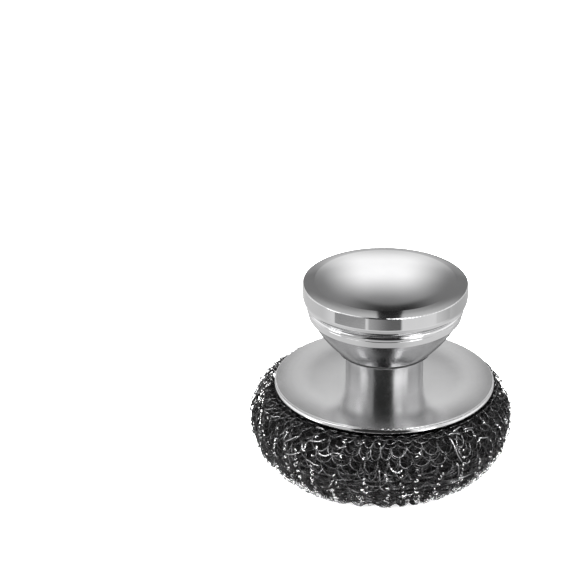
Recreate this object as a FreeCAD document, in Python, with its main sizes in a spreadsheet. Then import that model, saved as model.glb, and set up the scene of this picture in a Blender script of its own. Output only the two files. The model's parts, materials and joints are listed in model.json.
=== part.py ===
# A round pot scrubber: a knitted steel wire pad under a low dished steel plate, with a palm knob on a short neck.
# Millimetres, +Z up, the axis of the knob is Z and the pad's sole stands on Z = 0.
import FreeCAD
import Part
import math
import os
import re
import Sketcher

# Every size that can be chosen by itself, with what it measures.
SIZES = (
    # the wire pad
    ("pad_height", 32.1, "sole to the pad's top under the middle of the plate"),
    ("pad_equator", 20.5, "height at which the pad is widest"),
    ("pad_overhang", 7.5, "how far the pad stands out beyond the plate"),
    ("pad_undercut", 16.2, "how far the sole's edge lies inside the widest ring"),
    ("pad_swell", 1.3, "how far the pad swells up around the plate's hem"),
    ("pad_bore_gap", 0.5, "wire kept away from the bolt"),
    ("sole_round", 6.6, "radius with which the sole rolls into the middle dimple"),
    ("soft_gap", 0.3, "space between the wire and the sheet metal pressed into it"),
    # the bolt and its washers
    ("bolt_radius", 3.0, "shank of the M6 bolt"),
    ("thread_reach", 6.0, "bolt's end above the knob's floor"),
    ("bolt_tip", 0.8, "chamfer at the bolt's end"),
    ("bolt_recess", 2.4, "bolt head above the sole"),
    ("bolt_play", 0.3, "clearance round the bolt in plain holes"),
    ("thread_play", 0.05, "clearance of the thread in the knob"),
    ("head_flats", 10.0, "bolt head across flats"),
    ("head_height", 4.0, "bolt head"),
    ("spring_radius", 5.9, "outer radius of the spring washer"),
    ("spring_thick", 1.6, "spring washer"),
    ("spring_slit", 10.0, "slit of the spring washer in degrees"),
    ("retainer_radius", 12.5, "outer radius of the retaining washer"),
    ("retainer_sheet", 1.2, "sheet of the retaining washer"),
    ("retainer_bend", 2.2, "outer radius of its turned-down edge"),
    # the plate
    ("plate_radius", 37.5, "outer radius of the plate"),
    ("plate_sheet", 0.8, "sheet of the plate"),
    ("plate_margin", 0.5, "flat ring left round the neck's foot"),
    ("dish_width", 11.3, "ring of the plate that rises from the flat middle"),
    ("dish_rise", 0.55, "height that this ring gains"),
    ("brim_bow", 52.0, "radius with which the plate then curves over to its rim"),
    ("plate_edge", 0.6, "outer radius of the bend at the rim"),
    ("hem_height", 1.6, "bend at the rim to the lower edge of the folded hem"),
    # the neck
    ("neck_radius", 13.2, "outer radius of the neck"),
    ("neck_height", 11.6, "plate to the top of the neck"),
    ("neck_wall", 1.5, "wall of the neck"),
    ("neck_web", 2.0, "closed top of the neck"),
    ("neck_edge", 0.3, "rounding of the neck's upper edge"),
    ("seam_thick", 0.6, "black washer in the seam"),
    ("seam_reach", 2.7, "washer's edge beyond the neck"),
    # the knob
    ("knob_radius", 28.05, "outer radius of the knob's band"),
    ("knob_sheet", 1.0, "sheet of the knob's two shells"),
    ("floor_bend", 0.8, "outer radius of the bend at the knob's floor"),
    ("floor_set", 0.3, "edge of the flat floor inside the washer's edge"),
    ("bowl_height", 12.2, "floor to the line under the bead"),
    ("bowl_curve", 47.0, "radius of the bowl's bulge"),
    ("bead_line", 0.4, "height of the fine line under the bead"),
    ("bead_step", 0.6, "depth of that line"),
    ("bead_height", 4.1, "bead above the line"),
    ("bead_taper", 0.8, "how much narrower the bead is at its lower edge"),
    ("bead_round", 1.0, "radius of the bead's upper edge"),
    ("mark_up", 2.3, "fine mark round the bead, above its lower edge"),
    ("mark_width", 0.3, "width of that mark"),
    ("mark_depth", 0.2, "depth of that mark"),
    ("bead_proud", 0.6, "bead beyond the foot of the cap"),
    ("collar_height", 3.5, "collar of the bowl inside the cap"),
    ("cap_fit", 0.1, "clearance of that collar in the cap"),
    ("cap_foot", 0.8, "width of the cap's edge that stands on the bead"),
    ("cap_turn_in", 1.85, "how far the cap's edge turns in"),
    ("cap_turn_height", 3.3, "height over which it turns in"),
    ("band_height", 4.05, "straight band of the cap"),
    ("lip_round", 0.4, "radius of the lip round the top"),
    ("lip_tilt", 13.4, "slope of the top at the lip in degrees"),
    ("border_width", 4.05, "sloping border between the dome and the band"),
    ("border_rise", 1.2, "edge of the dome above the band"),
    ("border_bow", 88.0, "radius of the border's curve"),
    ("dome_rise", 2.05, "top of the dome above its edge"),
    # the nut inside the knob
    ("nut_spigot", 6.0, "radius of the nut's spigot in the knob's floor"),
    ("nut_gap", 0.05, "clearance of the spigot"),
    ("nut_flange", 9.0, "radius of the nut's flange"),
    ("nut_flange_thick", 1.2, "flange"),
    ("nut_flats", 10.0, "hexagon above the flange, across flats"),
    ("nut_hex_height", 3.0, "hexagon"),
)

os.makedirs("parts", exist_ok=True)
doc = FreeCAD.newDocument("pot_scrubber")
sheet = doc.addObject("Spreadsheet::Sheet", "Sizes")
for row, (alias, value, meaning) in enumerate(SIZES, start=1):
    sheet.set(f"A{row}", alias)
    sheet.set(f"B{row}", str(value))
    sheet.set(f"C{row}", meaning)
    sheet.setAlias(f"B{row}", alias)
doc.recompute()
ALIASES = {alias for alias, value, meaning in SIZES}


def bound(text):
    """The expression that a formula in plain size names stands for."""
    return re.sub(r"[a-z_]+", lambda m: "Sizes." + m[0] if m[0] in ALIASES else m[0], text)


def value_of(text):
    """What a formula comes to with the present sizes."""
    return float(sheet.evalExpression(bound(text)))


def piece(label):
    """An empty body for one piece of the scrubber."""
    body = doc.addObject("PartDesign::Body", label)
    body.Label = label
    return body


def origin_plane(body, role):
    for feature in body.Origin.OriginFeatures:
        if feature.Role == role:
            return feature
    raise ValueError(role)


def bow(radius, turn):
    """A circular edge to the next corner: turn is 1 to the left of the way there, and -1 to the right."""
    return {"radius": radius, "turn": turn}


def arc_between(start, end, radius, turn):
    """The lesser arc between two points, with its centre to the left for a turn of 1."""
    chord = end - start
    half = chord.Length / 2
    left = FreeCAD.Vector(-chord.y, chord.x, 0) / chord.Length
    centre = (start + end) / 2 + left * (turn * math.sqrt(max(radius**2 - half**2, 0)))
    middle = centre - left * (turn * radius)
    return Part.Arc(start, middle, end)


def tie(sketch, kind, edge, end, name, formula):
    """A driving distance from the origin to one end of an edge."""
    place = sketch.addConstraint(Sketcher.Constraint(kind, -1, 1, edge, end, value_of(formula)))
    sketch.renameConstraint(place, name)
    sketch.setExpression("Constraints." + name, bound(formula))


def half_section(body, corners):
    """A closed half section in the XZ plane. Each corner is its radius, its height and, for an arc, the bow."""
    sketch = body.newObject("Sketcher::SketchObject", body.Label + "_section")
    sketch.AttachmentSupport = [(origin_plane(body, "XZ_Plane"), "")]
    sketch.MapMode = "FlatFace"
    points = [FreeCAD.Vector(value_of(c[0]), value_of(c[1]), 0) for c in corners]
    ends = []
    for i, corner in enumerate(corners):
        start, end = points[i], points[(i + 1) % len(points)]
        if len(corner) == 2:
            edge = sketch.addGeometry(Part.LineSegment(start, end))
            ends.append((edge, 1, 2))
            continue
        curve = arc_between(start, end, value_of(corner[2]["radius"]), corner[2]["turn"])
        edge = sketch.addGeometry(curve)
        ends.append((edge, 1, 2) if corner[2]["turn"] > 0 else (edge, 2, 1))
    for i, corner in enumerate(corners):
        edge, first, last = ends[i]
        following, its_first, its_last = ends[(i + 1) % len(ends)]
        sketch.addConstraint(Sketcher.Constraint("Coincident", edge, last, following, its_first))
        tie(sketch, "DistanceX", edge, first, f"across{i}", corner[0])
        tie(sketch, "DistanceY", edge, first, f"up{i}", corner[1])
        if len(corner) == 3:
            radius = Sketcher.Constraint("Radius", edge, value_of(corner[2]["radius"]))
            sketch.renameConstraint(sketch.addConstraint(radius), f"bow{i}")
            sketch.setExpression(f"Constraints.bow{i}", bound(corner[2]["radius"]))
    return sketch


def turned(body, corners, angle="360"):
    """A solid of revolution about Z from its half section."""
    sketch = half_section(body, corners)
    doc.recompute()
    solid = body.newObject("PartDesign::Revolution", body.Label + "_turned")
    solid.Profile = sketch
    solid.ReferenceAxis = (sketch, ["V_Axis"])
    solid.setExpression("Angle", bound(angle))
    doc.recompute()
    return solid


def hexagon(body, flats, height, level):
    """A hexagonal prism on the axis, from its size across flats."""
    prism = body.newObject("PartDesign::AdditivePrism", body.Label + "_hexagon")
    prism.AttachmentSupport = [(origin_plane(body, "XY_Plane"), "")]
    prism.MapMode = "FlatFace"
    prism.Polygon = 6
    prism.setExpression("Circumradius", bound(f"{flats} / sqrt(3)"))
    prism.setExpression("Height", bound(height))
    prism.setExpression("AttachmentOffset.Base.z", bound(level))
    doc.recompute()
    return prism


def bored(body, radius, height, level):
    """A round hole on the axis."""
    before = body.Shape.Volume
    hole = body.newObject("PartDesign::SubtractiveCylinder", body.Label + "_bore")
    hole.AttachmentSupport = [(origin_plane(body, "XY_Plane"), "")]
    hole.MapMode = "FlatFace"
    hole.setExpression("Radius", bound(radius))
    hole.setExpression("Height", bound(height))
    hole.setExpression("AttachmentOffset.Base.z", bound(level))
    doc.recompute()
    if not body.Shape.Volume < before:
        raise ValueError(body.Label + " was not bored")
    return hole


# Heights that several pieces share, from the sole upwards.
HEAD_TOP = "(bolt_recess + head_height)"
SPRING_TOP = f"({HEAD_TOP} + spring_thick)"
PAD_SEAT = f"({SPRING_TOP} + retainer_sheet)"
PLATE_UNDER = "(pad_height + soft_gap)"
PLATE_TOP = f"({PLATE_UNDER} + plate_sheet)"
NECK_TOP = f"({PLATE_TOP} + neck_height)"
KNOB_LOW = f"({NECK_TOP} + seam_thick)"
BOWL_TOP = f"({KNOB_LOW} + bowl_height)"
BEAD_LOW = f"({BOWL_TOP} + bead_line)"
BEAD_TOP = f"({BEAD_LOW} + bead_height)"
BAND_LOW = f"({BEAD_TOP} + cap_turn_height)"
BAND_TOP = f"({BAND_LOW} + band_height)"
DOME_FOOT = f"({BAND_TOP} + border_rise)"
DOME_TOP = f"({DOME_FOOT} + dome_rise)"

# Radii that several pieces share.
BOLT_HOLE = "(bolt_radius + bolt_play)"
PAD_RADIUS = "(plate_radius + pad_overhang)"
HEM_INNER = "(plate_radius - 2 * plate_sheet)"
PLATE_FLAT = "(neck_radius + plate_margin)"
SEAM = "(neck_radius + seam_reach)"
FLOOR = f"({SEAM} - floor_set)"
NUT_HOLE = "(nut_spigot + nut_gap)"
CAP_FOOT = "(knob_radius - cap_turn_in)"
COLLAR = f"({CAP_FOOT} - cap_foot - cap_fit)"
BEAD = f"({CAP_FOOT} + bead_proud)"
BEAD_LOWER = f"({BEAD} - bead_taper)"
BOWL = f"({BEAD_LOWER} - bead_step)"


# The plate rises from its flat middle in one curve and goes over its crest to the rim in another.
DISH_BOW = "((dish_width^2 + dish_rise^2) / (2 * dish_rise))"
DISH_EDGE = f"({PLATE_FLAT} + dish_width)"
CREST = f"({DISH_EDGE} + dish_width * brim_bow / {DISH_BOW})"
CREST_TOP = f"({PLATE_TOP} + dish_rise + dish_rise * brim_bow / {DISH_BOW})"
DISH_EDGE_UNDER = f"({DISH_EDGE} + dish_width * plate_sheet / {DISH_BOW})"
DISH_UNDER = f"({PLATE_UNDER} + dish_rise + dish_rise * plate_sheet / {DISH_BOW})"


def brim(radius, depth):
    """Height of the brim at a radius, so far below its upper face."""
    return f"({CREST_TOP} - brim_bow + sqrt((brim_bow - {depth})^2 - ({radius} - {CREST})^2))"


# Where the bend at the rim leaves the brim's curve.
BEND = "(plate_radius - plate_edge)"
BEND_REACH = f"(({BEND} - {CREST}) / (brim_bow - plate_edge))"
BEND_START = f"({CREST} + brim_bow * {BEND_REACH})"
HEM_TOP = brim(BEND, "plate_edge")
HEM_LOW = f"({HEM_TOP} - hem_height)"


# The wire pad: a rolled ring with a flat sole, drawn into a dimple round the bolt and pressed in by the hem.
DIMPLE = "(retainer_radius + soft_gap)"
SOLE_INNER = f"({DIMPLE} + sole_round)"
SOLE_OUTER = f"({PAD_RADIUS} - pad_undercut)"
PAD_BORE = "(bolt_radius + pad_bore_gap)"
GROOVE_OUTER = "(plate_radius + soft_gap)"
GROOVE_INNER = f"({HEM_INNER} - soft_gap)"
GROOVE_LOW = f"({HEM_LOW} - soft_gap)"
SHOULDER = f"({HEM_LOW} + pad_swell)"
SOLE_BOW = "((pad_undercut^2 + pad_equator^2) / (2 * pad_undercut))"
CROWN_IN = f"({PAD_RADIUS} - {GROOVE_OUTER})"
CROWN_UP = f"({SHOULDER} - pad_equator)"
CROWN_BOW = f"(({CROWN_IN}^2 + {CROWN_UP}^2) / (2 * {CROWN_IN}))"
scouring_pad = piece("scouring_pad")
turned(scouring_pad, [
    (PAD_BORE, PAD_SEAT),
    (DIMPLE, PAD_SEAT),
    (DIMPLE, "sole_round", bow("sole_round", 1)),
    (SOLE_INNER, "0"),
    (SOLE_OUTER, "0", bow(SOLE_BOW, 1)),
    (PAD_RADIUS, "pad_equator", bow(CROWN_BOW, 1)),
    (GROOVE_OUTER, SHOULDER),
    (GROOVE_OUTER, GROOVE_LOW),
    (GROOVE_INNER, GROOVE_LOW),
    (GROOVE_INNER, f"{brim(GROOVE_INNER, 'plate_sheet')} - soft_gap", bow("brim_bow - plate_sheet", 1)),
    (DISH_EDGE_UNDER, f"{DISH_UNDER} - soft_gap", bow(f"{DISH_BOW} + plate_sheet", -1)),
    (PLATE_FLAT, "pad_height"),
    (PAD_BORE, "pad_height"),
])

# The bolt from below: hexagon head and plain shank with a chamfered end.
centre_bolt = piece("centre_bolt")
hexagon(centre_bolt, "head_flats", "head_height", "bolt_recess")
BOLT_END = f"({KNOB_LOW} + thread_reach)"
turned(centre_bolt, [
    ("0", HEAD_TOP),
    ("bolt_radius", HEAD_TOP),
    ("bolt_radius", f"{BOLT_END} - bolt_tip"),
    ("bolt_radius - bolt_tip", BOLT_END),
    ("0", BOLT_END),
])

# The split spring washer on the bolt head.
spring_washer = piece("spring_washer")
turned(spring_washer, [
    (BOLT_HOLE, HEAD_TOP),
    ("spring_radius", HEAD_TOP),
    ("spring_radius", SPRING_TOP),
    (BOLT_HOLE, SPRING_TOP),
], "360 - spring_slit")

# The retaining washer that holds the wire: a disc with its edge turned down so that it cuts no strand.
retaining_washer = piece("retaining_washer")
turned(retaining_washer, [
    (BOLT_HOLE, SPRING_TOP),
    ("retainer_radius - retainer_bend", SPRING_TOP, bow("retainer_bend - retainer_sheet", -1)),
    ("retainer_radius - retainer_sheet", f"{PAD_SEAT} - retainer_bend"),
    ("retainer_radius", f"{PAD_SEAT} - retainer_bend", bow("retainer_bend", 1)),
    ("retainer_radius - retainer_bend", PAD_SEAT),
    (BOLT_HOLE, PAD_SEAT),
])

# The backing plate: a low dish with a rounded brim, whose rim bends down into a hem folded flat on itself.
backing_plate = piece("backing_plate")
turned(backing_plate, [
    (BOLT_HOLE, PLATE_UNDER),
    (PLATE_FLAT, PLATE_UNDER, bow(f"{DISH_BOW} + plate_sheet", 1)),
    (DISH_EDGE_UNDER, DISH_UNDER, bow("brim_bow - plate_sheet", -1)),
    (HEM_INNER, brim(HEM_INNER, "plate_sheet")),
    (HEM_INNER, f"{HEM_LOW} + plate_sheet", bow("plate_sheet", 1)),
    ("plate_radius - plate_sheet", HEM_LOW, bow("plate_sheet", 1)),
    ("plate_radius", f"{HEM_LOW} + plate_sheet"),
    ("plate_radius", HEM_TOP, bow("plate_edge", 1)),
    (BEND_START, brim(BEND_START, "0"), bow("brim_bow", 1)),
    (DISH_EDGE, f"{PLATE_TOP} + dish_rise", bow(DISH_BOW, -1)),
    (PLATE_FLAT, PLATE_TOP),
    (BOLT_HOLE, PLATE_TOP),
])

# The neck: a hollow sleeve with a closed top, straight down to the plate.
neck_sleeve = piece("neck_sleeve")
turned(neck_sleeve, [
    ("neck_radius - neck_wall", PLATE_TOP),
    ("neck_radius", PLATE_TOP),
    ("neck_radius", f"{NECK_TOP} - neck_edge", bow("neck_edge", 1)),
    ("neck_radius - neck_edge", NECK_TOP),
    (BOLT_HOLE, NECK_TOP),
    (BOLT_HOLE, f"{NECK_TOP} - neck_web"),
    ("neck_radius - neck_wall", f"{NECK_TOP} - neck_web"),
])

# The thin black washer that shows as the seam between neck and knob.
seam_washer = piece("seam_washer")
turned(seam_washer, [
    (BOLT_HOLE, NECK_TOP),
    (SEAM, NECK_TOP),
    (SEAM, KNOB_LOW),
    (BOLT_HOLE, KNOB_LOW),
])

# The lower shell of the knob: flat floor, bulging cone, fine line, bead with a mark round it, and a collar inside the cap.
def bead_wall(height):
    """Radius of the bead's tapered wall at a height above its lower edge."""
    return f"({BEAD_LOWER} + bead_taper * ({height}) / (bead_height - bead_round))"


knob_bowl = piece("knob_bowl")
turned(knob_bowl, [
    (NUT_HOLE, KNOB_LOW),
    (FLOOR, KNOB_LOW, bow("floor_bend", 1)),
    (f"{FLOOR} + floor_bend * sin(45)", f"{KNOB_LOW} + floor_bend * (1 - cos(45))", bow("bowl_curve", 1)),
    (BOWL, BOWL_TOP),
    (BOWL, BEAD_LOW),
    (BEAD_LOWER, BEAD_LOW),
    (bead_wall("mark_up - mark_width / 2"), f"{BEAD_LOW} + mark_up - mark_width / 2"),
    (f"{bead_wall('mark_up')} - mark_depth", f"{BEAD_LOW} + mark_up"),
    (bead_wall("mark_up + mark_width / 2"), f"{BEAD_LOW} + mark_up + mark_width / 2"),
    (BEAD, f"{BEAD_TOP} - bead_round", bow("bead_round", 1)),
    (f"{BEAD} - bead_round", BEAD_TOP),
    (COLLAR, BEAD_TOP),
    (COLLAR, f"{BEAD_TOP} + collar_height"),
    (f"{COLLAR} - knob_sheet", f"{BEAD_TOP} + collar_height"),
    (f"{COLLAR} - knob_sheet", BOWL_TOP, bow("bowl_curve - knob_sheet", -1)),
    (FLOOR, f"{KNOB_LOW} + knob_sheet"),
    (NUT_HOLE, f"{KNOB_LOW} + knob_sheet"),
])

# The upper shell of the knob: an edge turned in on the bead, a straight band, a narrow lip, a sloping border and a low dome.
LIP = "(knob_radius - lip_round)"
DOME_EDGE = "(knob_radius - border_width)"
DOME_BOW = f"(({DOME_EDGE}^2 + dome_rise^2) / (2 * dome_rise))"
DOME_CENTRE = f"({DOME_TOP} - {DOME_BOW})"
TURN_BOW = "((cap_turn_in^2 + cap_turn_height^2) / (2 * cap_turn_in))"
BAND_INNER = "(knob_radius - knob_sheet)"
knob_cap = piece("knob_cap")
turned(knob_cap, [
    (f"{COLLAR} + cap_fit", BEAD_TOP),
    (CAP_FOOT, BEAD_TOP, bow(TURN_BOW, 1)),
    ("knob_radius", BAND_LOW),
    ("knob_radius", BAND_TOP, bow("lip_round", 1)),
    (f"{LIP} + lip_round * sin(lip_tilt)", f"{BAND_TOP} + lip_round * cos(lip_tilt)", bow("border_bow", 1)),
    (DOME_EDGE, DOME_FOOT, bow(DOME_BOW, 1)),
    ("0", DOME_TOP),
    ("0", f"{DOME_TOP} - knob_sheet", bow(f"{DOME_BOW} - knob_sheet", -1)),
    (BAND_INNER, f"{DOME_CENTRE} + sqrt(({DOME_BOW} - knob_sheet)^2 - {BAND_INNER}^2)"),
    (BAND_INNER, BAND_LOW),
    (f"{COLLAR} + cap_fit", f"{BEAD_TOP} + cap_turn_height * 0.4"),
])

# The nut inside the knob: a spigot through the floor, a flange on the floor and a hexagon above.
knob_nut = piece("knob_nut")
FLANGE_LOW = f"({KNOB_LOW} + knob_sheet)"
FLANGE_TOP = f"({FLANGE_LOW} + nut_flange_thick)"
turned(knob_nut, [
    ("0", KNOB_LOW),
    ("nut_spigot", KNOB_LOW),
    ("nut_spigot", FLANGE_LOW),
    ("nut_flange", FLANGE_LOW),
    ("nut_flange", FLANGE_TOP),
    ("0", FLANGE_TOP),
])
hexagon(knob_nut, "nut_flats", "nut_hex_height", FLANGE_TOP)
bored(knob_nut, "bolt_radius + thread_play", f"{FLANGE_TOP} + nut_hex_height - {KNOB_LOW}", KNOB_LOW)

PIECES = (
    scouring_pad,
    centre_bolt,
    spring_washer,
    retaining_washer,
    backing_plate,
    neck_sleeve,
    seam_washer,
    knob_bowl,
    knob_cap,
    knob_nut,
)
doc.recompute()
for item in doc.Objects:
    if "Invalid" in item.State or "Error" in item.State:
        raise ValueError(item.Label + " failed")
for body in PIECES:
    shape = body.Shape
    if shape.isNull() or not shape.isValid() or len(shape.Solids) != 1:
        raise ValueError(body.Label + " is not one valid solid")
for body in PIECES:
    shape = body.Shape
    box = shape.optimalBoundingBox(False, False)
    shape.exportStep(os.path.join("parts", body.Label + ".step"))
    print(f"{body.Label:18s} {shape.Volume:10.1f} mm3  z {box.ZMin:7.3f} to {box.ZMax:7.3f}  r {box.XMax:7.3f}")
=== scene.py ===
import json
import math

import bpy
import numpy as np
from mathutils import Matrix, Vector

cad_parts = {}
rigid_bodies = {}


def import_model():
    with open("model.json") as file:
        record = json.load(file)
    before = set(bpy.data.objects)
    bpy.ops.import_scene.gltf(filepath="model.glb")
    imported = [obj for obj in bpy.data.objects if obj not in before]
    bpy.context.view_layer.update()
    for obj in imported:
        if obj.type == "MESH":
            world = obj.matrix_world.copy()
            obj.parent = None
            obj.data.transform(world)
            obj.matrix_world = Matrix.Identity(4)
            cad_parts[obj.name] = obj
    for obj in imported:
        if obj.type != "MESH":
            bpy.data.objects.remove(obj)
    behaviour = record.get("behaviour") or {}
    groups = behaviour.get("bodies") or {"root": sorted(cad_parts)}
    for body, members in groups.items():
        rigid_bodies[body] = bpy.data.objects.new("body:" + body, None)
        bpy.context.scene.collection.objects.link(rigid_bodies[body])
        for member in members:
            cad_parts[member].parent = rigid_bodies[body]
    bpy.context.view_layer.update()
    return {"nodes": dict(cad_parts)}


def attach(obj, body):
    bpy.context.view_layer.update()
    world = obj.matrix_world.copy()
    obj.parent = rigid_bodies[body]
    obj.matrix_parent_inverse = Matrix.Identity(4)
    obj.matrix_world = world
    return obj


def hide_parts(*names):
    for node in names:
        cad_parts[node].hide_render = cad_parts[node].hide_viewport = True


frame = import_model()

# Pot scrubber: the steel pieces are the CAD nodes with finished materials; the
# pad's plain solid is replaced by layers of knitted steel wire over a dark core, whose darkness is painted
# shade.

scene = bpy.context.scene
nodes = frame["nodes"]
MM = 0.001


# Node helpers
class Graph:
    """Adds nodes to a node tree; an argument is a number or another node's socket."""

    def __init__(self, tree):
        self.tree = tree

    def add(self, kind, **settings):
        node = self.tree.nodes.new(kind)
        for key, value in settings.items():
            setattr(node, key, value)
        return node

    def feed(self, socket, value):
        if isinstance(value, bpy.types.NodeSocket):
            self.tree.links.new(value, socket)
        elif value is not None:
            socket.default_value = value

    def math(self, operation, a, b=None, c=None):
        node = self.add("ShaderNodeMath", operation=operation)
        for socket, value in zip(node.inputs, (a, b, c)):
            self.feed(socket, value)
        return node.outputs[0]

    def sums(self, *values):
        total = values[0]
        for value in values[1:]:
            total = self.math("ADD", total, value)
        return total

    def product(self, *values):
        total = values[0]
        for value in values[1:]:
            total = self.math("MULTIPLY", total, value)
        return total

    def rest(self, value):
        """What a share leaves of 1."""
        return self.math("SUBTRACT", 1.0, value)

    def ramp(self, value, from_low, from_high, to_low=0.0, to_high=1.0):
        node = self.add("ShaderNodeMapRange", interpolation_type="SMOOTHSTEP")
        for name, x in zip(
            ("Value", "From Min", "From Max", "To Min", "To Max"),
            (value, from_low, from_high, to_low, to_high),
        ):
            self.feed(node.inputs[name], x)
        return node.outputs["Result"]

    def noise(self, vector, scale, detail=3.0, roughness=0.55):
        node = self.add("ShaderNodeTexNoise")
        self.feed(node.inputs["Vector"], vector)
        self.feed(node.inputs["Scale"], scale)
        self.feed(node.inputs["Detail"], detail)
        self.feed(node.inputs["Roughness"], roughness)
        return node.outputs["Fac"]

    def colours(self, value, *stops):
        node = self.add("ShaderNodeValToRGB")
        ramp = node.color_ramp
        while len(ramp.elements) < len(stops):
            ramp.elements.new(0.5)
        for element, (place, colour) in zip(ramp.elements, stops):
            element.position = place
            element.color = (*colour, 1.0)
        self.feed(node.inputs["Fac"], value)
        return node.outputs["Color"]

    def bump(self, height, strength, distance, normal=None):
        node = self.add("ShaderNodeBump")
        self.feed(node.inputs["Height"], height)
        self.feed(node.inputs["Strength"], strength)
        self.feed(node.inputs["Distance"], distance)
        if normal is not None:
            self.feed(node.inputs["Normal"], normal)
        return node.outputs["Normal"]


def new_material(name):
    material = bpy.data.materials.new(name)
    material.use_nodes = True
    return material, Graph(material.node_tree), material.node_tree.nodes["Principled BSDF"]


def spun_coordinates(g):
    """Object coordinates, and (radius, height, 0) for marks that run round the axis."""
    place = g.add("ShaderNodeTexCoord").outputs["Object"]
    parts = g.add("ShaderNodeSeparateXYZ")
    g.feed(parts.inputs[0], place)
    x, y, z = parts.outputs
    radius = g.math("SQRT", g.sums(g.product(x, x), g.product(y, y)))
    ring = g.add("ShaderNodeCombineXYZ")
    g.feed(ring.inputs[0], radius)
    g.feed(ring.inputs[1], z)
    return place, ring.outputs[0], radius


def height_of(g, place):
    parts = g.add("ShaderNodeSeparateXYZ")
    g.feed(parts.inputs[0], place)
    return parts.outputs[2]


RIM_TONE = (0.78, 0.78, 0.785)
RIM_BLEND = 0.0004      # width over which the rim's finish begins, in metres
HEM_FACE = 0.0006       # from the rim's radius to the hem's outer face, in metres
HEM_BLEND = 0.0001      # width over which the hem's rounding begins, in metres
HEM_CREST = 0.0314      # height at which the hem's face stands out most, in metres
HEM_ROLL = 200.0        # how strongly the hem's face is rounded, per metre


def steel(name, dark, light, rough_low, rough_high, line_scale, line_depth, rim=None, smear=0.0):
    """Spun stainless steel: fine lines round the axis, cloudy polish, small specks.
    Beyond the radius rim it is lighter and smoother, and the hem's face is rounded.
    With a smear, the lines spread what it mirrors along the radius."""
    material, g, shader = new_material(name)
    place, ring, radius = spun_coordinates(g)
    lines = g.noise(ring, scale=line_scale, detail=4.0, roughness=0.7)
    clouds = g.noise(place, scale=55.0, detail=3.0, roughness=0.5)
    specks = g.noise(place, scale=900.0, detail=2.0, roughness=0.6)
    if rim:
        tone = g.sums(g.product(clouds, 0.5), g.product(g.ramp(radius, rim, rim + RIM_BLEND), 0.5))
        tones = g.colours(tone, (0.15, dark), (0.35, light), (0.6, RIM_TONE))
    else:
        tones = g.colours(clouds, (0.3, dark), (0.7, light))
    g.feed(shader.inputs["Base Color"], tones)
    shader.inputs["Metallic"].default_value = 1.0
    polish = g.sums(g.product(lines, 0.5), g.product(clouds, 0.35), g.product(specks, 0.15))
    rough = g.ramp(polish, 0.3, 0.7, rough_low, rough_high)
    normal = g.bump(lines, strength=line_depth, distance=0.0002)
    if rim:
        rough = g.product(rough, g.ramp(radius, rim, rim + RIM_BLEND, 1.0, 0.5))
        off_crest = g.sums(height_of(g, place), -HEM_CREST)
        face = rim + HEM_FACE
        on_face = g.ramp(radius, face, face + HEM_BLEND)
        roll = g.product(off_crest, off_crest, -HEM_ROLL, on_face)
        normal = g.bump(roll, strength=1.0, distance=1.0, normal=normal)
    g.feed(shader.inputs["Roughness"], rough)
    g.feed(shader.inputs["Normal"], normal)
    if smear:
        shader.inputs["Anisotropic"].default_value = smear
        shader.inputs["Anisotropic Rotation"].default_value = 0.25
        round_axis = g.add("ShaderNodeTangent", direction_type="RADIAL", axis="Z")
        g.feed(shader.inputs["Tangent"], round_axis.outputs[0])
    return material


SPLIT_BLEND = 0.00004   # half the width over which the black painted shade ends, in metres


def seam_shade(name, split):
    """Black that paints the shade of the gap under the knob, over a thin steel backing, which lies below
    the height split.
    """
    material, g, shader = new_material(name)
    place = g.add("ShaderNodeTexCoord").outputs["Object"]
    backing = g.ramp(height_of(g, place), split - SPLIT_BLEND, split + SPLIT_BLEND, 1.0, 0.0)
    grain = g.noise(place, scale=2600.0, detail=3.0, roughness=0.6)
    shade = g.sums(g.product(grain, 0.3), g.product(backing, 0.7))
    g.feed(
        shader.inputs["Base Color"],
        g.colours(
            shade, (0.08, (0.008, 0.008, 0.008)), (0.24, (0.022, 0.022, 0.023)),
            (0.78, (0.60, 0.60, 0.605)), (0.95, (0.70, 0.70, 0.705)),
        ),
    )
    g.feed(shader.inputs["Metallic"], backing)
    g.feed(
        shader.inputs["Roughness"],
        g.sums(g.ramp(grain, 0.25, 0.75, 0.10, 0.24), g.product(g.rest(backing), 0.4)),
    )
    g.feed(shader.inputs["Normal"], g.bump(grain, strength=0.2, distance=0.0001))
    return material


def wire_metal(name, dark, light):
    """Drawn wire: each stretch a little lighter or darker, with drawing marks."""
    material, g, shader = new_material(name)
    place = g.add("ShaderNodeTexCoord").outputs["Object"]
    stretch = g.noise(place, scale=260.0, detail=2.0, roughness=0.5)
    marks = g.noise(place, scale=3800.0, detail=3.0, roughness=0.65)
    g.feed(shader.inputs["Base Color"], g.colours(stretch, (0.34, dark), (0.68, light)))
    shader.inputs["Metallic"].default_value = 1.0
    g.feed(shader.inputs["Roughness"], g.ramp(marks, 0.3, 0.7, 0.17, 0.33))
    g.feed(shader.inputs["Normal"], g.bump(marks, strength=0.12, distance=0.0001))
    return material


def knit_core(name):
    """The inside of the knit, crossing wires too deep to tell apart, painted near black for their shade."""
    material, g, shader = new_material(name)
    place = g.add("ShaderNodeTexCoord").outputs["Object"]
    cells = g.add("ShaderNodeTexVoronoi", feature="DISTANCE_TO_EDGE")
    g.feed(cells.inputs["Vector"], place)
    g.feed(cells.inputs["Scale"], 420.0)
    strands = g.ramp(cells.outputs["Distance"], 0.02, 0.16, 1.0, 0.0)
    g.feed(
        shader.inputs["Base Color"],
        g.colours(strands, (0.2, (0.004, 0.004, 0.004)), (0.95, (0.020, 0.020, 0.0205))),
    )
    shader.inputs["Metallic"].default_value = 0.6
    g.feed(shader.inputs["Roughness"], g.ramp(strands, 0.0, 1.0, 0.75, 0.5))
    g.feed(shader.inputs["Normal"], g.bump(strands, strength=0.8, distance=0.0006))
    return material


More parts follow.
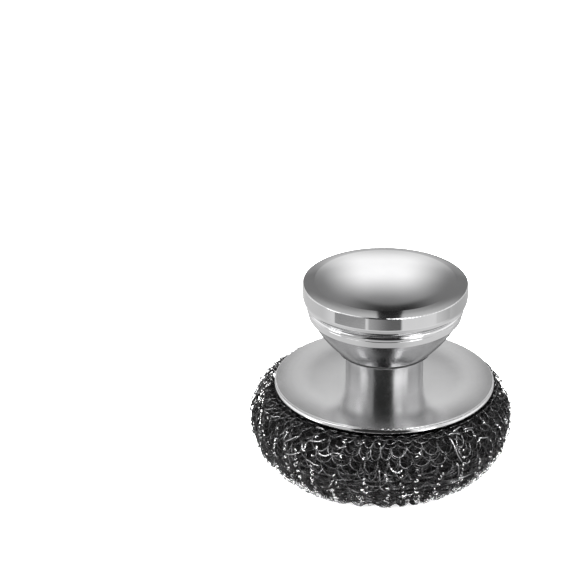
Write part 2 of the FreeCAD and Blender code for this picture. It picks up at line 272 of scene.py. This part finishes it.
POLISHED = steel(
    "polished_steel", dark=(0.70, 0.70, 0.705), light=(0.76, 0.76, 0.765),
    rough_low=0.04, rough_high=0.085, line_scale=5200.0, line_depth=0.004,
)
NECK = steel(
    "neck_steel", dark=(0.68, 0.68, 0.685), light=(0.74, 0.74, 0.745),
    rough_low=0.13, rough_high=0.20, line_scale=5200.0, line_depth=0.008,
)
SATIN = steel(
    "satin_steel", dark=(0.50, 0.50, 0.503), light=(0.56, 0.56, 0.563),
    rough_low=0.20, rough_high=0.27, line_scale=4200.0, line_depth=0.008, rim=0.0367, smear=0.85,
)
FASTENER = steel(
    "fastener_steel", dark=(0.46, 0.46, 0.47), light=(0.60, 0.60, 0.61),
    rough_low=0.26, rough_high=0.42, line_scale=3000.0, line_depth=0.06,
)
# Painted shade: the seam washer's black band stands for the shade of the gap under the knob.
SEAM_SHADE = seam_shade("black_seal", split=0.04490)
# Painted shade: every wire tone lies far below bare steel, for the shade inside the knit; the mid and deep
# copies are darker still, for the layers deeper in.
WIRE = wire_metal("wire_knit", (0.042, 0.042, 0.0425), (0.11, 0.11, 0.112))
SHADED_WIRE = wire_metal("wire_knit_painted_shade_mid", (0.024, 0.024, 0.0245), (0.080, 0.080, 0.081))
DEEP_SHADED_WIRE = wire_metal("wire_knit_painted_shade_deep", (0.007, 0.007, 0.0072), (0.026, 0.026, 0.0265))
# Painted highlights: lighter copies of the wire, standing in for glints on loose strands and tight bends.
GLINT_WIRE = wire_metal("wire_knit_painted_glint", (0.20, 0.20, 0.203), (0.42, 0.42, 0.425))
CRIMPED_GLINT_WIRE = wire_metal("wire_knit_crimped_painted_glint", (0.40, 0.40, 0.405), (0.75, 0.75, 0.755))
# Painted shade: the core's near-black colour stands for the shade deep inside the knit.
SHADE_CORE = knit_core("wire_knit_core_painted_shade")

for name, material in {
    "knob_cap": POLISHED,
    "knob_bowl": POLISHED,
    "neck_sleeve": NECK,
    "backing_plate": SATIN,
    "seam_washer": SEAM_SHADE,
    "centre_bolt": FASTENER,
    "spring_washer": FASTENER,
    "retaining_washer": FASTENER,
    "knob_nut": FASTENER,
}.items():
    mesh = nodes[name].data
    mesh.materials.clear()
    mesh.materials.append(material)


# Camera
SIDE = 576
FOCAL = 3388.0          # focal length in pixels of the square image
DISTANCE = 1.16
ELEVATION = math.radians(27.1)
TARGET = Vector((0.0, 0.0, 0.036))
TARGET_PIXEL = (384.3, 371.4)
ROLL = math.radians(0.8)
SENSOR = 36.0           # width of the camera's sensor, in mm

back = Vector((0.0, -math.cos(ELEVATION), math.sin(ELEVATION)))
base = Matrix(((1, 0, 0), (0, 0, -1), (0, 1, 0)))
base = Matrix.Rotation(-ELEVATION, 3, "X") @ base
ray = Vector(
    ((TARGET_PIXEL[0] - SIDE / 2) / FOCAL, (SIDE / 2 - TARGET_PIXEL[1]) / FOCAL, -1.0)
).normalized()
swing = ray.rotation_difference(Vector((0.0, 0.0, -1.0))).to_matrix()
turn = base @ Matrix.Rotation(ROLL, 3, "Z") @ swing
eye = TARGET + DISTANCE * back

camera_data = bpy.data.cameras.new("camera")
camera = bpy.data.objects.new("camera", camera_data)
scene.collection.objects.link(camera)
camera.matrix_world = Matrix.Translation(eye) @ turn.to_4x4()
camera_data.sensor_width = SENSOR
camera_data.lens = FOCAL * SENSOR / SIDE
camera_data.clip_start, camera_data.clip_end = 0.05, 50.0
scene.camera = camera


# The pad's surface
def arc(centre, radius, first, last, count):
    a = np.radians(np.linspace(first, last, count))
    return np.column_stack([centre[0] + radius * np.cos(a), centre[1] + radius * np.sin(a)])


def line(first, last, count):
    return np.linspace(first, last, count)


CROWN_CENTRE, CROWN_RADIUS = (31.23, 20.5), 13.77       # upper round of the pad's side, in mm
FLANK_CENTRE, FLANK_RADIUS = (23.93, 20.5), 21.07       # lower round of the pad's side
DIMPLE_EDGE, DIMPLE_ROUND = 19.4, 6.6                   # where the sole turns up round the bolt's head
SMOOTHINGS = 6
SAMPLES = 900

# Half section of the knit, in mm, from the bolt outwards over the top, dipping
# under the plate's hem, over the crown, down the side, along the sole and up
# into the dimple round the bolt's head.
section = np.concatenate(
    [
        line((5.0, 31.2), (14.0, 31.2), 26),
        line((14.5, 31.2), (24.0, 31.6), 22),
        line((24.5, 31.6), (33.4, 31.9), 20),
        line((34.6, 31.3), (36.8, 30.6), 8),
        line((37.6, 30.9), (38.6, 31.8), 6),
        arc(CROWN_CENTRE, CROWN_RADIUS, 55.0, 0.0, 40),
        arc(FLANK_CENTRE, FLANK_RADIUS, -1.5, -76.6, 60),
        line((28.3, 0.0), (19.9, 0.0), 16),
        arc((DIMPLE_EDGE, DIMPLE_ROUND), DIMPLE_ROUND, -90.0, -180.0, 24),
        line((12.8, 7.0), (12.8, 8.7), 4),
    ]
)
for _ in range(SMOOTHINGS):
    section[1:-1] = 0.25 * section[:-2] + 0.5 * section[1:-1] + 0.25 * section[2:]
steps = np.hypot(*np.diff(section, axis=0).T)
length = np.concatenate([[0.0], np.cumsum(steps)])
S_END = length[-1]
s_axis = np.linspace(0.0, S_END, SAMPLES)
sec_r = np.interp(s_axis, length, section[:, 0])
sec_z = np.interp(s_axis, length, section[:, 1])
along = np.column_stack([np.gradient(sec_r), np.gradient(sec_z)])
along /= np.linalg.norm(along, axis=1)[:, None]
nor_r, nor_z = -along[:, 1], along[:, 0]


def s_at(r, z):
    """Where along the half section the point nearest to (r, z) lies."""
    return s_axis[np.argmin((sec_r - r) ** 2 + (sec_z - z) ** 2)]


S_HEM = s_at(37.0, 30.0)
S_CROWN = s_at(39.5, 31.6)
S_WIDE = s_at(45.0, 20.5)
S_SOLE = s_at(28.8, 0.0)
WALES = 38              # loops in a course of the lower knit, and pleats of the pad
LEAN = 1.1              # how far the pad sits to one side, in mm

shape_rng = np.random.default_rng(11)
LUMPS = [
    (
        int(shape_rng.integers(2, 12)),
        shape_rng.uniform(-0.30, 0.30),
        shape_rng.uniform(0, 2 * math.pi),
        shape_rng.uniform(0.04, 0.15),
    )
    for _ in range(14)
]
SWAY = [
    (int(shape_rng.integers(2, 9)), shape_rng.uniform(-0.12, 0.12), shape_rng.uniform(0, 2 * math.pi))
    for _ in range(7)
]


def eased_share(x):
    """0 up to x = 0, 1 from x = 1 on, and a smooth rise between."""
    x = np.clip(x, 0, 1)
    return x * x * (3 - 2 * x)


def outside_share(s):
    """1 on the pad's open side and sole, 0 under the plate and in the dimple."""
    return eased_share((s - S_HEM) / (S_CROWN - S_HEM + 3.0)) * (1 - eased_share((s - S_SOLE) / 8.0))


def gathered(s):
    """0 over the crown, 1 near the sole, where the wales draw together."""
    return eased_share((s - S_WIDE + 4.0) / (S_SOLE - S_WIDE))


def sway(theta, s):
    """How far a wale wanders sideways, in shares of a wale."""
    return 0.10 * sum(np.cos(k * theta + q * s + p) for k, q, p in SWAY)


def swell(theta, s):
    """Pleats along the wales and soft lumps, in mm along the surface normal."""
    share = outside_share(s)
    lumps = sum(a * np.cos(k * theta + q * s + p) for k, q, p, a in LUMPS)
    pleats = -(0.15 + 0.65 * gathered(s)) * np.cos(WALES * (theta - 2 * math.pi / WALES * sway(theta, s)))
    return share * (lumps + pleats)


# Highest place for the wire at a radius, in mm, under the plate, its hem and beyond.
ROOF = (
    (0, 32.0), (14, 32.0), (20, 32.1), (25, 32.4), (30, 32.7),
    (34.6, 32.4), (35.2, 31.0), (38.2, 31.0), (39.0, 34.0), (40.5, 60.0),
)
GROUND_GAP = 0.28       # lowest place for the middle of a wire, in mm
FREE_HEIGHT = -0.4      # above this height, in mm, wire is held back
STAND_OUT = 0.6         # and this much farther it stands out at most


def place_on_pad(theta, s, lift):
    """Points of the pad's surface, in mm, lifted along its normal."""
    s = np.clip(s, 0.0, S_END)
    r, z = np.interp(s, s_axis, sec_r), np.interp(s, s_axis, sec_z)
    nr, nz = np.interp(s, s_axis, nor_r), np.interp(s, s_axis, nor_z)
    d = lift + swell(theta, s)
    over = FREE_HEIGHT + STAND_OUT * np.tanh((d - FREE_HEIGHT) / STAND_OUT)
    d = np.where(d > FREE_HEIGHT, over, d)
    r, z = r + nr * d, z + nz * d
    lean = -LEAN * outside_share(s)
    points = np.column_stack([r * np.cos(theta) + lean, r * np.sin(theta), z])
    normal = np.column_stack([nr * np.cos(theta), nr * np.sin(theta), nz])
    # clear of the plate and its hem above, and of the ground below
    radius = np.hypot(points[:, 0], points[:, 1])
    roof = np.interp(radius, *np.transpose(ROOF))
    points[:, 2] = np.clip(points[:, 2], GROUND_GAP, roof)
    return points, normal


# Wire and tubes
def tube_mesh(name, runs, material, sides=6):
    """One mesh of ribbon-like tubes; a run is (points mm, normals, width mm, thickness mm, twist)."""
    coords, quads, caps, first = [], [], [], 0
    around = 2 * math.pi * np.arange(sides) / sides
    for points, normal, width, thick, twist in runs:
        n = len(points)
        tangent = np.gradient(points, axis=0)
        tangent /= np.linalg.norm(tangent, axis=1)[:, None] + 1e-12
        across = np.cross(tangent, normal)
        across /= np.linalg.norm(across, axis=1)[:, None] + 1e-12
        up = np.cross(across, tangent)
        c, s = np.cos(twist)[:, None], np.sin(twist)[:, None]
        e1, e2 = across * c + up * s, up * c - across * s
        ring = (
            points[:, None, :]
            + 0.5 * width * np.cos(around)[None, :, None] * e1[:, None, :]
            + 0.5 * thick * np.sin(around)[None, :, None] * e2[:, None, :]
        )
        coords.append(ring.reshape(-1, 3))
        i = first + sides * np.arange(n - 1)[:, None]
        j = np.arange(sides)[None, :]
        k = (j + 1) % sides
        quads.append(np.stack([i + j, i + k, i + sides + k, i + sides + j], axis=-1).reshape(-1, 4))
        caps.append([first + x for x in range(sides)][::-1])
        caps.append([first + sides * (n - 1) + x for x in range(sides)])
        first += sides * n
    coords = (np.concatenate(coords) * MM).astype(np.float32)
    quads = np.concatenate(quads).astype(np.int32)
    caps = np.array(caps, np.int32)
    mesh = bpy.data.meshes.new(name)
    mesh.vertices.add(len(coords))
    mesh.vertices.foreach_set("co", coords.ravel())
    corners = np.concatenate([quads.ravel(), caps.ravel()])
    mesh.loops.add(len(corners))
    mesh.loops.foreach_set("vertex_index", corners)
    mesh.polygons.add(len(quads) + len(caps))
    starts = np.concatenate(
        [4 * np.arange(len(quads)), 4 * len(quads) + sides * np.arange(len(caps))]
    ).astype(np.int32)
    mesh.polygons.foreach_set("loop_start", starts)
    mesh.polygons.foreach_set("use_smooth", np.ones(len(starts), bool))
    mesh.update(calc_edges=True)
    mesh.validate()
    mesh.materials.append(material)
    piece = bpy.data.objects.new(name, mesh)
    scene.collection.objects.link(piece)
    return piece


def as_pad(piece):
    """The piece rides on the pad's body and shows in place of its plain solid."""
    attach(piece, "pad")
    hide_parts("scouring_pad")


LOOP_STEPS = 14         # steps to a loop
WIRE_WIDTH = 0.36       # in mm
WIRE_THICK = 0.22
LAYER_SEED = 100


def knit_layer(name, depth, count, pitch, tall, bulge, start, end, shift, seed, material):
    """One continuous wire, knitted round and round: count loops to a course,
    each of which hangs towards the sole."""
    rng = np.random.default_rng(seed)
    loops = int((end - start) / pitch * count)
    t = np.arange(loops * LOOP_STEPS + 1) / LOOP_STEPS

    def wander(spread):
        return np.interp(t, np.arange(loops + 2), rng.normal(0, spread, loops + 2))

    wale = 2 * math.pi / count
    number = np.minimum(np.floor(t), loops - 1)
    turn = math.pi * (t - number)
    course = start + pitch * t / count
    waves = ((3, seed), (5, 2.0 * seed), (8, 0.7 * seed))
    drift = sum(0.16 * pitch * np.cos(k * wale * t + p) for k, p in waves)
    course = course + drift * outside_share(course)
    side = number + 0.5 - 0.5 * np.cos(turn) - (bulge + wander(0.03)) * np.sin(2 * turn)
    theta = wale * (side + shift + wander(0.07))
    theta = theta + 2 * math.pi / WALES * sway(theta, course)
    s = course + tall * (1 + wander(0.14)) * np.sin(turn) + wander(0.25)
    pulled = np.clip(wander(1.0) - 2.1, 0, 1.2) * outside_share(s)      # a few loops stand out
    lift = -depth + 0.3 * np.sin(turn) - 0.25 * np.cos(2 * turn) + wander(0.12) + 0.8 * pulled
    points, normal = place_on_pad(theta, s, lift)
    twist = 0.5 * np.cos(turn) + wander(0.5)
    as_pad(tube_mesh(name, [(points, normal, WIRE_WIDTH, WIRE_THICK, twist)], material, sides=5))


# Over the crown the courses are set off by half a loop, so the loops make cells;
# lower down the loops hang under one another, with their ends in the ridges.
# The deeper layers take the darker wire copies, which paint their shade.
LAYERS = [
    # depth, loops to a course, pitch, tall, bulge, start, end, shift, metal, darker for deeper layers as
    # painted shade
    (0.75, 54.5, 4.2, 4.4, 0.07, S_HEM - 6, S_WIDE + 5, 0.00, WIRE),
    (1.25, 50.5, 3.7, 3.8, 0.05, S_HEM - 6, S_WIDE + 7, 0.25, SHADED_WIRE),
    (1.75, 46.5, 2.4, 3.0, 0.03, S_HEM - 5, S_WIDE + 6, 0.10, DEEP_SHADED_WIRE),
    (1.10, 38.0, 2.4, 2.8, 0.03, S_WIDE - 1, S_END - 1, 0.50, SHADED_WIRE),
    (1.60, 38.0, 2.2, 2.4, 0.02, S_WIDE - 3, S_END - 1, 0.46, SHADED_WIRE),
    (2.10, 38.0, 2.3, 2.6, 0.02, S_WIDE - 2, S_END - 1, 0.54, DEEP_SHADED_WIRE),
    (2.30, 42.5, 3.6, 3.4, 0.05, 2.0, S_END - 2, 0.25, DEEP_SHADED_WIRE),
]
for number, (*shape, metal) in enumerate(LAYERS, 1):
    knit_layer(f"wire_layer_{number}", *shape, LAYER_SEED + number, metal)


# Loose strands and tight bends, in lighter wire that paints their glints
NEARER, FARTHER = 0.07, 0.05        # stretch of a camera ray that can meet the pad, in metres


def seen_at(x, y, lift=0.6):
    """Where the camera's ray through a pixel first comes within lift mm of the pad: (angle, s)."""
    d = turn @ Vector(((x - SIDE / 2) / FOCAL, (SIDE / 2 - y) / FOCAL, -1.0)).normalized()
    reach = np.linspace(DISTANCE - NEARER, DISTANCE + FARTHER, SAMPLES)
    p = (np.array(eye)[None, :] + reach[:, None] * np.array(d)[None, :]) / MM
    r, z = np.hypot(p[:, 0] + LEAN, p[:, 1]), p[:, 2]
    gap_r, gap_z = r[:, None] - sec_r[None, :], z[:, None] - sec_z[None, :]
    near = np.argmin(gap_r**2 + gap_z**2, axis=1)
    row = np.arange(len(near))
    outside = gap_r[row, near] * nor_r[near] + gap_z[row, near] * nor_z[near]
    hit = np.argmax(outside < lift)
    return math.atan2(p[hit, 1], p[hit, 0] + LEAN), s_axis[near[hit]]


def eased(values, count):
    """A smooth line through a few values."""
    values = np.array(values, float)
    u = np.linspace(0, len(values) - 1, count)
    i = np.clip(u.astype(int), 0, len(values) - 2)
    f = u - i
    before, after = values[np.maximum(i - 1, 0)], values[np.minimum(i + 2, len(values) - 1)]
    a, b = values[i], values[i + 1]
    second = 2 * before - 5 * a + 4 * b - after
    third = 3 * a - before - 3 * b + after
    return 0.5 * (2 * a + (b - before) * f + second * f**2 + third * f**3)


def strand(theta, s, top, count=14, dive=1.0, width=0.42, thick=0.2, turn_by=0.0):
    """A free strand over the knit, whose two ends go back into it."""
    u = np.linspace(0, 1, count)
    arch = np.clip(np.minimum(u, 1 - u) / 0.22, 0, 1)
    lift = top * arch - dive * (1 - arch)
    points, normal = place_on_pad(eased(theta, count), eased(s, count), lift)
    return points, normal, width, thick, np.full(count, turn_by) + 0.6 * u


STRAYS = [
    # pixels of the 576 x 576 image that a strand passes, first to last
    ((282.5, 442.5), (290, 439), (297.5, 435.5)),
    ((308, 440), (313, 441), (319, 441), (325, 438.5)),
    ((283.5, 453.5), (289, 455), (297.5, 453.5)),
    ((303.5, 458.5), (309.5, 462), (317.5, 467.5)),
    ((301, 443), (301.5, 449), (304, 452)),
    ((305, 442), (304.5, 447), (301.5, 451)),
    ((313, 426), (317.5, 427.5), (322, 428.5)),
    ((334, 444), (339.5, 447.5), (346, 446)),
    ((316.5, 452), (323.5, 456), (331.5, 453.5)),
    ((282, 441), (284.5, 435.5), (287.5, 431)),
    ((450, 436), (455, 446), (459.5, 457), (465, 464)),
    ((465, 464), (468.5, 463.5), (472, 460)),
    ((459, 464), (459.5, 471), (459, 478)),
    ((449.5, 433.5), (455.5, 433), (461.5, 434)),
    ((453.5, 431), (457, 428), (460.5, 425.5)),
    ((466.5, 431), (470.5, 429.5), (474, 430)),
    ((390.5, 468), (393.5, 472), (398.5, 473), (403, 470)),
    ((262.5, 408), (267.5, 409), (273.5, 407)),
    ((269, 414), (273, 416.5), (277.5, 415)),
]


STRAY_TOP, STRAY_WIDTH, STRAY_THICK = 0.75, 0.5, 0.26       # in mm
FREE_STRANDS = 60
BOW_POINTS = 5
BEND_STEP = 0.95        # from one tight bend of a wale to the next, in mm
BEND_WIDTH, BEND_THICK = 0.46, 0.24
# Share of the places along the half section at which a wale is crimped.
BEND_SHARE = (
    (S_CROWN, 0.03), (S_WIDE, 0.35), (S_WIDE + 12, 0.9), (S_SOLE, 1.0), (S_SOLE + 5, 0.6),
)


def bow(heading, bend, size):
    """How far a bent stretch of wire runs across the wales and down them, in mm."""
    angle = heading + bend * np.linspace(-0.5, 0.5, BOW_POINTS)
    across, down = np.cumsum(np.cos(angle)), np.cumsum(np.sin(angle))
    return size * across / BOW_POINTS, size * down / BOW_POINTS


def loose_strands():
    """Strands at the pixels above, and others like them all round the pad."""
    runs = []
    for pixels in STRAYS:
        theta, s = zip(*[seen_at(*pixel) for pixel in pixels])
        runs.append(strand(np.unwrap(theta), s, STRAY_TOP, width=STRAY_WIDTH, thick=STRAY_THICK))
    rng = np.random.default_rng(71)
    for _ in range(FREE_STRANDS):
        theta, s = rng.uniform(0, 2 * math.pi), rng.uniform(S_CROWN + 1, S_SOLE - 2)
        heading, size, curl = rng.uniform(0, 2 * math.pi), rng.uniform(2.0, 7.0), rng.normal(0, 0.7)
        across, down = bow(heading, curl, size)
        radius = np.interp(s, s_axis, sec_r)
        top, turned = rng.uniform(0.3, 0.9), rng.uniform(-0.8, 0.8)
        runs.append(strand(theta + across / radius, s + down, top, count=11, turn_by=turned))
    return runs


def tight_bends():
    """Sinkers crimped where the wales draw together towards the sole, in lighter wire that paints their
    glints.
    """
    rng = np.random.default_rng(72)
    runs, wale = [], 2 * math.pi / WALES
    for column in range(WALES):
        for s in np.arange(S_CROWN + 2.0, S_SOLE + 5.0, BEND_STEP):
            if rng.uniform() > np.interp(s, *np.transpose(BEND_SHARE)):
                continue
            place = s + rng.uniform(-0.4, 0.4)
            theta = wale * (column + 0.5 + rng.normal(0, 0.06))
            theta += wale * float(sway(np.array(theta), np.array(place)))
            radius = np.interp(place, s_axis, sec_r)
            size, heading = rng.uniform(0.9, 1.9), rng.uniform(0, math.pi)
            bend = rng.choice([-1, 1]) * rng.uniform(1.2, 2.8)
            across, down = bow(heading, bend, size)
            across = across - 0.5 * size * np.cos(heading)
            down = down - 0.5 * size * np.sin(heading)
            top, turned = rng.uniform(0.15, 0.65), rng.uniform(-1.2, 1.2)
            runs.append(
                strand(
                    theta + across / radius, place + down, top,
                    count=8, dive=0.5, width=BEND_WIDTH, thick=BEND_THICK, turn_by=turned,
                )
            )
    return runs


# The lighter wire on these pieces paints their glints.
as_pad(tube_mesh("loose_strands", loose_strands(), GLINT_WIRE))
as_pad(tube_mesh("tight_bends", tight_bends(), CRIMPED_GLINT_WIRE))


# Dark core, painted shade inside the knit
CORE_DEPTH = 3.37       # from the side of the knit in to the core, in mm
CORE_AROUND = 160


def core_piece():
    """A closed ring inside the knit, so that one doesn't see through it; its near-black colour paints the
    shade inside.
    """
    around = CORE_AROUND
    inner = np.concatenate(
        [
            line((4.2, 28.2), (33.0, 28.8), 16),
            arc(CROWN_CENTRE, CROWN_RADIUS - CORE_DEPTH, 62.0, 0.0, 16),
            arc(FLANK_CENTRE, FLANK_RADIUS - CORE_DEPTH, -4.0, -74.0, 22),
            line((28.0, 3.3), (21.6, 3.3), 6),
            arc((DIMPLE_EDGE, 8.3), 4.9, -70.0, -180.0, 12),
            line((14.5, 10.0), (4.2, 10.6), 6),
        ]
    )
    a = 2 * math.pi * np.arange(around) / around
    rng = np.random.default_rng(5)
    coords, faces = [], []
    for r, z in inner:
        wave = 0.35 * np.cos(WALES * a) + 0.25 * np.cos(9 * a + rng.uniform(0, 6))
        coords.append(np.column_stack([(r + wave) * np.cos(a), (r + wave) * np.sin(a), np.full(around, z)]))
    m = len(inner)
    for i in range(m):
        row, after = i * around, ((i + 1) % m) * around
        for j in range(around):
            k = (j + 1) % around
            faces.append((row + j, row + k, after + k, after + j))
    mesh = bpy.data.meshes.new("knit_core")
    mesh.from_pydata((np.concatenate(coords) * MM).tolist(), [], faces)
    mesh.polygons.foreach_set("use_smooth", np.ones(len(faces), bool))
    mesh.update()
    mesh.materials.append(SHADE_CORE)
    piece = bpy.data.objects.new("knit_core", mesh)
    scene.collection.objects.link(piece)
    as_pad(piece)


core_piece()


# Floor
FLOOR_REACH = 6.0       # half the floor's width, in metres
FLOOR_GLOW = 0.55


def floor():
    """A pale floor that glows a little and isn't mirrored in the steel."""
    material, g, shader = new_material("pale_floor")
    place = g.add("ShaderNodeTexCoord").outputs["Object"]
    grain = g.noise(place, scale=40.0, detail=4.0, roughness=0.6)
    g.feed(
        shader.inputs["Base Color"],
        g.colours(grain, (0.3, (0.90, 0.90, 0.90)), (0.7, (0.93, 0.93, 0.93))),
    )
    shader.inputs["Roughness"].default_value = 0.8
    shader.inputs["Emission Color"].default_value = (1.0, 1.0, 1.0, 1.0)
    shader.inputs["Emission Strength"].default_value = FLOOR_GLOW
    mesh = bpy.data.meshes.new("floor")
    corners = ((-1, -1), (1, -1), (1, 1), (-1, 1))
    mesh.from_pydata([(FLOOR_REACH * x, FLOOR_REACH * y, 0) for x, y in corners], [], [(0, 1, 2, 3)])
    mesh.materials.append(material)
    piece = bpy.data.objects.new("floor", mesh)
    scene.collection.objects.link(piece)
    piece.visible_glossy = False


floor()


# Light
class Directions(Graph):
    """The world's node tree. A direction is told in degrees: its height (up), its bearing
    from the front, to the right (180 behind), and how far it lies aside of the middle plane."""

    def __init__(self, tree):
        super().__init__(tree)
        parts = self.add("ShaderNodeSeparateXYZ")
        self.feed(parts.inputs[0], self.add("ShaderNodeTexCoord").outputs["Generated"])
        x, y, z = parts.outputs
        self.up = self.math("DEGREES", self.math("ARCSINE", z))
        self.aside = self.math("DEGREES", self.math("ARCSINE", x))
        self.bearing = self.math("DEGREES", self.math("ARCTAN2", x, self.product(y, -1.0)))
        self.turned_away = self.math("ABSOLUTE", self.bearing)
        self.from_back = self.math("DEGREES", self.math("ARCTAN2", x, y))
        self.behind = self.ramp(y, -0.02, 0.05)

    def between(self, value, low, high, soft):
        """1 from low to high, with edges that are soft degrees wide."""
        rise = self.ramp(value, low - soft / 2, low + soft / 2)
        return self.product(rise, self.ramp(value, high - soft / 2, high + soft / 2, 1.0, 0.0))

    def near(self, value, middle, inner, outer):
        """1 within inner degrees of the middle, 0 beyond outer degrees."""
        return self.ramp(self.math("ABSOLUTE", self.sums(value, -middle)), inner, outer, 1.0, 0.0)

    def box(self, bearings, heights, level=1.0):
        """An upright box of that level; bearings and heights are (low, high, soft)."""
        return self.product(self.between(self.bearing, *bearings), self.between(self.up, *heights), level)

    def oval(self, centre, wide, middle, tall):
        """0 in an oval's middle, 1 on its edge, more outside."""
        across = self.math("DIVIDE", self.sums(self.aside, -centre), wide)
        height = self.math("DIVIDE", self.sums(self.up, -middle), tall)
        return self.math("SQRT", self.sums(self.product(across, across), self.product(height, height)))

    def blend(self, share, one, other):
        """The one where share is 1, the other where it is 0."""
        return self.sums(self.product(one, share), self.product(other, self.rest(share)))


def screen_behind(d):
    """A grey screen with a glow in its middle and a dark bow over it: its light and its share."""
    glow = d.product(
        d.near(d.aside, -0.3, 2.2, 9.4),
        d.ramp(d.up, -9.0, 23.5),
        d.ramp(d.up, 23.5, 42.5, 1.0, 0.0),
    )
    ring = d.oval(centre=0.5, wide=10.5, middle=19.0, tall=27.0)
    bow_over = d.product(
        d.ramp(ring, 0.83, 0.93),
        d.ramp(ring, 1.01, 1.05, 1.0, 0.0),
        d.near(d.aside, 1.5, 1.5, 8.0),
        d.ramp(d.up, 22.0, 32.0),
    )
    band = d.between(d.up, 8.0, 17.0, 6.0)
    light = d.sums(d.product(glow, 1.08), 0.22, d.product(band, 0.10))
    light = d.product(light, d.rest(d.product(bow_over, 0.88)))
    edge = d.oval(centre=0.0, wide=15.0, middle=19.0, tall=29.0)
    return light, d.product(d.ramp(edge, 0.93, 1.30, 1.0, 0.0), d.behind)


def walls_and_ceiling(d):
    """White walls and ceiling with bright boxes at both sides, and the share that is dark:
    a gap in front, a slot behind and a strip overhead."""
    walls = d.product(
        d.ramp(d.turned_away, 50.0, 80.0, 0.5, 1.0),
        d.ramp(d.turned_away, 117.0, 127.0, 1.0, 0.68),
        d.ramp(d.up, 28.0, 36.0, 1.2, 0.74),
    )
    walls = d.blend(d.ramp(d.turned_away, 140.0, 165.0), 0.94, walls)
    walls = d.math("MAXIMUM", walls, d.ramp(d.up, 40.0, 60.0, 0.0, 0.9))
    boxes = d.sums(
        d.box((32.0, 56.0, 6.0), (0.0, 70.0, 8.0), 0.4),
        d.box((30.0, 76.0, 6.0), (33.0, 76.0, 3.0), 1.9),
        d.box((-78.0, -54.0, 6.0), (33.0, 70.0, 3.0), 1.5),
    )
    gap = d.box((-32.0, 28.0, 5.0), (-9.0, 86.0, 4.0))
    slot = d.product(d.between(d.from_back, -2.5, 5.5, 0.8), d.ramp(d.up, 46.0, 47.0))
    overhead = d.product(d.between(d.aside, -13.0, 13.0, 5.0), d.ramp(d.up, 60.0, 65.0))
    dark = d.math("MAXIMUM", d.math("MAXIMUM", gap, slot), overhead)
    return d.sums(walls, boxes), dark


def low_strips(d):
    """Bright strips near the table's edge, one at either side."""
    return d.sums(
        d.box((36.0, 53.0, 4.0), (-13.0, 8.0, 3.0), 3.2),
        d.box((-84.0, -64.0, 4.0), (-9.0, 12.0, 4.0), 2.3),
    )


def table_below(d):
    """The white table, with dark patches in front and at the sides."""
    patches = d.sums(
        d.box((-74.0, -27.0, 2.0), (-26.7, -8.0, 1.0), 0.64),
        d.box((-23.0, 23.0, 4.0), (-29.0, -8.0, 1.0), d.ramp(d.bearing, -24.0, 10.0, 0.5, 0.82)),
        d.box((76.0, 102.0, 4.0), (-26.7, -8.0, 1.0), 0.20),
    )
    table = d.product(
        d.ramp(d.bearing, -100.0, -75.0, 0.66, 0.84),
        d.ramp(d.bearing, 75.0, 115.0, 1.0, 0.62),
        d.ramp(d.up, -29.0, -36.0, 1.0, 1.1),
    )
    underfoot = d.ramp(d.turned_away, 15.0, 60.0, 0.56, 0.76)
    light = d.blend(d.ramp(d.up, -34.0, -40.0), underfoot, d.product(table, d.rest(patches)))
    front_edge = d.product(d.between(d.bearing, -27.0, 25.0, 4.0), d.ramp(d.up, -10.0, -7.0), 0.9)
    sheen = d.product(d.between(d.turned_away, 95.0, 130.0, 6.0), d.between(d.up, -23.5, -12.0, 1.5), 0.5)
    return d.sums(d.product(light, d.rest(front_edge)), sheen)


PLAIN_LEVEL = 6.0       # what the camera and matt surfaces see in every direction
DARKNESS = 0.95         # how much of the light is gone where the walls are dark


def studio():
    """A soft studio painted by direction, which the steel mirrors."""
    world = bpy.data.worlds.new("studio")
    scene.world = world
    world.use_nodes = True
    d = Directions(world.node_tree)
    screen, screen_share = screen_behind(d)
    walls, dark = walls_and_ceiling(d)
    upper = d.product(d.blend(screen_share, screen, walls), d.rest(d.product(dark, DARKNESS)))
    sky_share = d.ramp(d.up, -3.0, 3.0)
    shown = d.sums(d.blend(sky_share, upper, table_below(d)), low_strips(d))
    path = d.add("ShaderNodeLightPath")
    plain = d.math("MAXIMUM", path.outputs["Is Camera Ray"], path.outputs["Is Diffuse Ray"])
    background = world.node_tree.nodes["Background"]
    background.inputs["Color"].default_value = (1.0, 1.0, 1.0, 1.0)
    d.feed(background.inputs["Strength"], d.blend(plain, PLAIN_LEVEL, shown))


studio()

LAMP_DISTANCE = 1.3
LAMP_AIM = Vector((0, 0, 0.02))
LAMPS = {
    # bearing and height in degrees, size in metres, watts
    "lamp_left": (-57.0, 38.0, 0.5, 7.0),
    "lamp_right": (45.0, 38.0, 0.5, 10.0),
    "lamp_top": (4.0, 62.0, 0.4, 17.0),
    "lamp_low_left": (-34.0, 9.0, 0.3, 14.0),
    "lamp_low_right": (30.0, 9.0, 0.3, 14.0),
}
wire_pieces = bpy.data.collections.new("wire_pieces")
for piece in scene.objects:
    if piece.name.startswith(("wire_layer", "loose_strands", "tight_bends")):
        wire_pieces.objects.link(piece)


def lamp(name, bearing, height, size, watts):
    """A soft lamp that lights the wire only; the steel takes its light from the studio."""
    data = bpy.data.lights.new(name, "AREA")
    data.shape = "DISK"
    data.size = size
    data.energy = watts
    piece = bpy.data.objects.new(name, data)
    scene.collection.objects.link(piece)
    b, h = math.radians(bearing), math.radians(height)
    away = Vector((math.sin(b) * math.cos(h), -math.cos(b) * math.cos(h), math.sin(h)))
    piece.location = LAMP_DISTANCE * away
    piece.rotation_euler = (LAMP_AIM - piece.location).to_track_quat("-Z", "Y").to_euler()
    piece.light_linking.receiver_collection = wire_pieces


for name, settings in LAMPS.items():
    lamp(name, *settings)

scene.view_settings.view_transform = "Standard"
scene.cycles.max_bounces = 16
scene.cycles.glossy_bounces = 12
